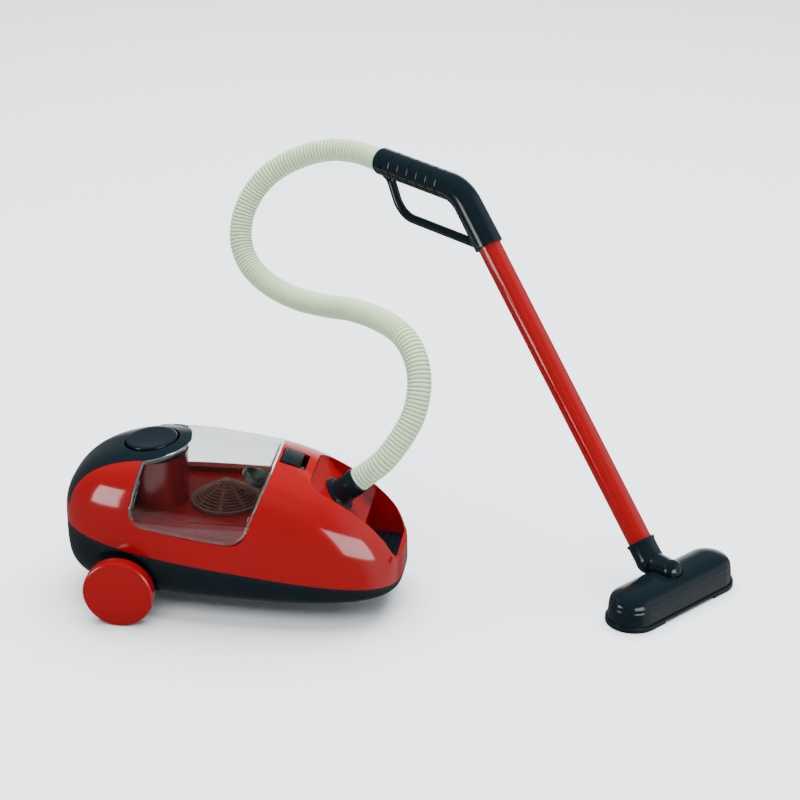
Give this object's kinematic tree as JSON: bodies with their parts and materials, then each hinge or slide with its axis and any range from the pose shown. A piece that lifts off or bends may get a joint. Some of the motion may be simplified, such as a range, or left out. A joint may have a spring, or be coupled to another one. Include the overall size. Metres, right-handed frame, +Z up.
{
  "type": "toy vacuum cleaner",
  "caption": "Toy canister vacuum cleaner on wheels with a clear lift-off dust lid, ribbed hose, leaning wand with a looped grip, and a floor nozzle.",
  "frame": {"origin": "middle of the base of the box round the object without its hose, on the floor", "axes": "+X the way the canister points, +Y away from the side the picture shows, +Z up"},
  "size_m": [0.6792, 0.4584, 0.3758],
  "materials": {
    "red": "gloss",
    "dark": "gloss",
    "clear": "gloss",
    "steel": "satin",
    "grey": "matte",
    "cell": "gloss",
    "pale": "satin"
  },
  "bodies": {
    "canister": {"base_tub": "dark", "upper_shell": "red", "tail_cover": "dark", "button_spring": "steel", "switch": "grey", "latch_spring": "steel", "dust_tray": "red", "filter_cone": "clear", "intake_duct": "dark", "bay_grille": "dark", "motor": "steel", "motor_mount": "grey", "battery_box": "dark", "batteries": "cell", "battery_contacts": "steel", "battery_door": "dark", "battery_door_screw": "steel", "rear_axle": "steel", "case_screws": "steel", "hose_cuff": "dark", "hose": "pale"},
    "power_button": {"power_button": "dark"},
    "dust_lid": {"dust_lid": "clear"},
    "lid_latch": {"lid_latch": "dark"},
    "fan": {"impeller": "grey", "motor_shaft": "steel"},
    "wheel_left": {"wheel_left": "red"},
    "wheel_right": {"wheel_right": "red"},
    "caster": {"caster_fork": "dark", "caster_axle": "steel"},
    "caster_wheel": {"caster_wheel": "grey"},
    "wand": {"handle": "dark", "wand_tube": "red", "nozzle_neck": "dark"},
    "nozzle": {"nozzle_hood": "dark", "nozzle_sole": "dark", "neck_pin": "steel", "nozzle_screws": "steel"}
  },
  "joints": [
    {"name": "wheel_left_spin", "type": "hinge", "parent": "canister", "child": "wheel_left", "pos_m": [-0.27, -0.0355, 0.036], "axis": [0, 1, 0], "continuous": true},
    {"name": "wheel_right_spin", "type": "hinge", "parent": "canister", "child": "wheel_right", "pos_m": [-0.27, -0.2045, 0.036], "axis": [0, 1, 0], "continuous": true},
    {"name": "caster_swivel", "type": "hinge", "parent": "canister", "child": "caster", "pos_m": [-0.058, -0.12, 0.024], "axis": [0, 0, 1], "continuous": true},
    {"name": "caster_spin", "type": "hinge", "parent": "caster", "child": "caster_wheel", "pos_m": [-0.063, -0.12, 0.0075], "axis": [0, 1, 0], "continuous": true},
    {"name": "button_press", "type": "slide", "parent": "canister", "child": "power_button", "axis": [0.0872, 0, -0.9962], "range_m": [0, 0.003], "stiffness_N_per_m": 400, "springref_m": -0.002, "deforming": ["button_spring"]},
    {"name": "latch_slide", "type": "slide", "parent": "canister", "child": "lid_latch", "axis": [0.9605, 0, -0.2782], "range_m": [0, 0.005], "stiffness_N_per_m": 300, "springref_m": -0.002, "deforming": ["latch_spring"]},
    {"name": "lid_lift", "type": "slide", "parent": "canister", "child": "dust_lid", "axis": [0.2924, 0, 0.9563], "range_m": [0, 0.1]},
    {"name": "fan_spin", "type": "hinge", "parent": "canister", "child": "fan", "pos_m": [-0.175, -0.12, 0.106], "axis": [0, 0, 1], "continuous": true},
    {"name": "wand_swing", "type": "hinge", "parent": "canister", "child": "wand", "pos_m": [-0.06, -0.12, 0.118], "axis": [0, 0, 1], "range_deg": [-20, 20], "deforming": ["hose"]},
    {"name": "nozzle_roll", "type": "hinge", "parent": "wand", "child": "nozzle", "pos_m": [0.276, -0.083, 0.036], "axis": [0.7716, -0.6361, 0], "range_deg": [-15, 15]}
  ]
}
